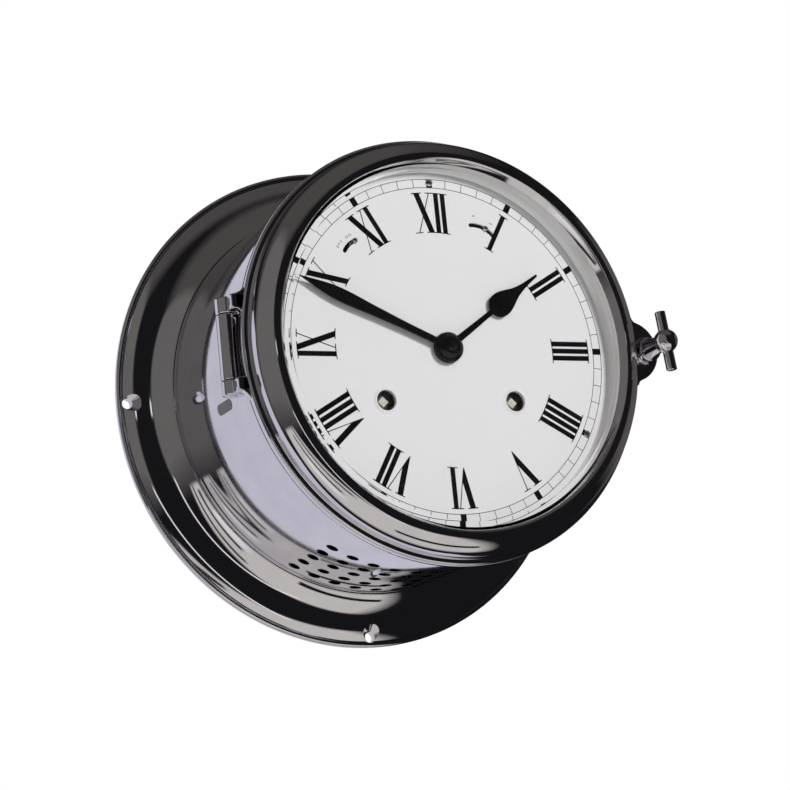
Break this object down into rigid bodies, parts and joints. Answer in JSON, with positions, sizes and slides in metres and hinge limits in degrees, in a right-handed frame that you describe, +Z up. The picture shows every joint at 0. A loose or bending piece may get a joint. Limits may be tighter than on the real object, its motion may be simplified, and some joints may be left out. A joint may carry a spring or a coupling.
{
  "type": "ships deck clock",
  "caption": "Bulkhead clock with a polished drum case, hinged glass bezel with a lock screw, Roman dial, spring movement and bell; its base flange screws to a wall.",
  "frame": {"origin": "centre of the flat wall face of the base flange", "axes": "+Z up, +X towards the right of the dial, +Y into the wall; the dial faces -Y"},
  "size_m": [0.2124, 0.1242, 0.2124],
  "materials": {
    "polished_chrome": "polished",
    "grey_plug": "satin",
    "seal_rubber": "matt",
    "satin_silver_ring": "satin",
    "dial_silver_white": "matt",
    "brass": "satin",
    "painted_steel_cover": "satin",
    "steel": "satin",
    "spring_steel": "blued",
    "bell_metal": "polished",
    "clear_glass": "polished",
    "black_hand": "gloss"
  },
  "bodies": {
    "case": {"base_flange": "polished_chrome", "case_drum": "polished_chrome", "case_plug": "grey_plug", "dial_seat_ring": "brass", "bezel_gasket": "seal_rubber", "dial_cove_ring": "satin_silver_ring", "back_cover": "painted_steel_cover", "back_cover_screws": "steel", "case_hinge_knuckle": "polished_chrome", "lock_lug": "polished_chrome", "dial_plate": "dial_silver_white", "dial_screws": "steel", "front_plate": "brass", "back_plate": "brass", "plate_pillars": "brass", "pillar_screws": "steel", "movement_spacers": "brass", "movement_screws": "steel", "hairspring": "spring_steel", "bell": "bell_metal", "bell_post": "steel", "bell_nut": "steel", "click_springs": "steel"},
    "bezel": {"bezel_ring": "polished_chrome", "bezel_glass": "clear_glass", "glass_retaining_ring": "brass", "hinge_pin": "polished_chrome"},
    "lock_slide": {"lock_washer": "polished_chrome"},
    "lock_handle": {"lock_screw": "polished_chrome", "lock_tee_bar": "polished_chrome"},
    "minute": {"minute_hand": "black_hand", "hand_nut": "black_hand", "cannon_pinion": "brass"},
    "motion": {"minute_wheel": "brass"},
    "hour": {"hour_hand": "black_hand", "hour_wheel": "brass"},
    "strike_silent": {"strike_lever": "steel"},
    "slow_fast": {"regulator_lever": "steel"},
    "time_winding": {"time_winding_arbor": "steel", "time_ratchet": "steel"},
    "strike_winding": {"strike_winding_arbor": "steel", "strike_ratchet": "steel"},
    "time_pawl": {"time_click": "steel"},
    "strike_pawl": {"strike_click": "steel"},
    "going_barrel": {"time_barrel": "brass", "time_mainspring": "spring_steel"},
    "centre": {"centre_wheel": "brass"},
    "third": {"third_wheel": "brass"},
    "fourth": {"fourth_wheel": "brass"},
    "escape": {"escape_wheel": "brass"},
    "pallets": {"pallet_lever": "steel"},
    "balance": {"balance_wheel": "brass"},
    "striking_barrel": {"strike_barrel": "brass", "strike_mainspring": "spring_steel"},
    "lifting": {"pin_wheel": "brass"},
    "locking": {"locking_wheel": "brass"},
    "fly": {"strike_fly": "brass"},
    "hammer_arm": {"hammer": "brass"}
  },
  "joints": [
    {"name": "bezel_swing", "type": "hinge", "parent": "case", "child": "bezel", "pos_m": [-0.08985, -0.0885, 0], "axis": [0, 0, -1], "range_deg": [0, 120]},
    {"name": "lock_screw_travel", "type": "slide", "parent": "bezel", "child": "lock_slide", "axis": [0, -1, 0], "range_m": [0, 0.00601]},
    {"name": "lock_screw_turn", "type": "hinge", "parent": "lock_slide", "child": "lock_handle", "pos_m": [0.0926, -0.11, 0], "axis": [0, -1, 0], "range_deg": [0, 1440]},
    {"name": "minute_hand_turn", "type": "hinge", "parent": "case", "child": "minute", "pos_m": [0, -0.101, 0], "axis": [0, 1, 0], "continuous": true},
    {"name": "minute_wheel_turn", "type": "hinge", "parent": "case", "child": "motion", "pos_m": [0, -0.092, 0.0192], "axis": [0, 1, 0], "continuous": true},
    {"name": "hour_hand_turn", "type": "hinge", "parent": "case", "child": "hour", "pos_m": [0, -0.098, 0], "axis": [0, 1, 0], "continuous": true},
    {"name": "strike_silent_lever", "type": "hinge", "parent": "case", "child": "strike_silent", "pos_m": [-0.0331, -0.096, 0.036], "axis": [0, -1, 0], "range_deg": [0, 41]},
    {"name": "slow_fast_lever", "type": "hinge", "parent": "case", "child": "slow_fast", "pos_m": [0.0182, -0.096, 0.0416], "axis": [0, 1, 0], "range_deg": [-33, 26]},
    {"name": "time_winding_turn", "type": "hinge", "parent": "case", "child": "time_winding", "pos_m": [0.0292, -0.09, -0.0217], "axis": [0, 1, 0], "range_deg": [0, 360]},
    {"name": "strike_winding_turn", "type": "hinge", "parent": "case", "child": "strike_winding", "pos_m": [-0.0292, -0.09, -0.0217], "axis": [0, -1, 0], "range_deg": [0, 360]},
    {"name": "time_click_lift", "type": "hinge", "parent": "case", "child": "time_pawl", "pos_m": [0.04262, -0.092, -0.01395], "axis": [0, 1, 0], "range_deg": [0, 12]},
    {"name": "strike_click_lift", "type": "hinge", "parent": "case", "child": "strike_pawl", "pos_m": [-0.04262, -0.092, -0.01395], "axis": [0, -1, 0], "range_deg": [0, 12]},
    {"name": "fourth_wheel_turn", "type": "hinge", "parent": "case", "child": "fourth", "pos_m": [0.01348, -0.078, 0.03638], "axis": [0, 1, 0], "continuous": true},
    {"name": "third_wheel_turn", "type": "hinge", "parent": "case", "child": "third", "pos_m": [-0.01163, -0.072, 0.03195], "axis": [0, 1, 0], "continuous": true},
    {"name": "centre_wheel_turn", "type": "hinge", "parent": "case", "child": "centre", "pos_m": [0, -0.064, 0], "axis": [0, 1, 0], "continuous": true},
    {"name": "going_barrel_turn", "type": "hinge", "parent": "case", "child": "going_barrel", "pos_m": [0.0292, -0.077, -0.0217], "axis": [0, 1, 0], "continuous": true},
    {"name": "escape_wheel_turn", "type": "hinge", "parent": "case", "child": "escape", "pos_m": [0.03087, -0.081, 0.03172], "axis": [0, 1, 0], "continuous": true},
    {"name": "pallet_lever_rock", "type": "hinge", "parent": "case", "child": "pallets", "pos_m": [0.03805, -0.081, 0.0249], "axis": [0, 1, 0], "range_deg": [-5, 5]},
    {"name": "balance_swing", "type": "hinge", "parent": "case", "child": "balance", "pos_m": [0.04799, -0.076, 0.01547], "axis": [0, 1, 0], "range_deg": [-135, 135]},
    {"name": "locking_wheel_turn", "type": "hinge", "parent": "case", "child": "locking", "pos_m": [-0.03955, -0.078, 0.03428], "axis": [0, 1, 0], "continuous": true},
    {"name": "pin_wheel_turn", "type": "hinge", "parent": "case", "child": "lifting", "pos_m": [-0.03237, -0.067, 0.01454], "axis": [0, 1, 0], "continuous": true},
    {"name": "striking_barrel_turn", "type": "hinge", "parent": "case", "child": "striking_barrel", "pos_m": [-0.0292, -0.077, -0.0217], "axis": [0, 1, 0], "continuous": true},
    {"name": "fly_turn", "type": "hinge", "parent": "case", "child": "fly", "pos_m": [-0.05318, -0.07, 0.02932], "axis": [0, 1, 0], "continuous": true},
    {"name": "hammer_swing", "type": "hinge", "parent": "case", "child": "hammer_arm", "pos_m": [-0.058, -0.06, 0.008], "axis": [0, 1, 0], "range_deg": [0, 15]}
  ],
  "couplings": [
    {"joint": "lock_screw_travel", "follows": "lock_screw_turn", "m_per_rad": 0.00023873},
    {"joint": "minute_wheel_turn", "follows": "minute_hand_turn", "ratio": -0.33333},
    {"joint": "hour_hand_turn", "follows": "minute_hand_turn", "ratio": 0.083333},
    {"joint": "third_wheel_turn", "follows": "fourth_wheel_turn", "ratio": -0.13333},
    {"joint": "centre_wheel_turn", "follows": "fourth_wheel_turn", "ratio": 0.016667},
    {"joint": "going_barrel_turn", "follows": "fourth_wheel_turn", "ratio": -0.0027778},
    {"joint": "escape_wheel_turn", "follows": "fourth_wheel_turn", "ratio": -10},
    {"joint": "pin_wheel_turn", "follows": "locking_wheel_turn", "ratio": -0.16667},
    {"joint": "striking_barrel_turn", "follows": "locking_wheel_turn", "ratio": 0.027778},
    {"joint": "fly_turn", "follows": "locking_wheel_turn", "ratio": -6.25}
  ]
}
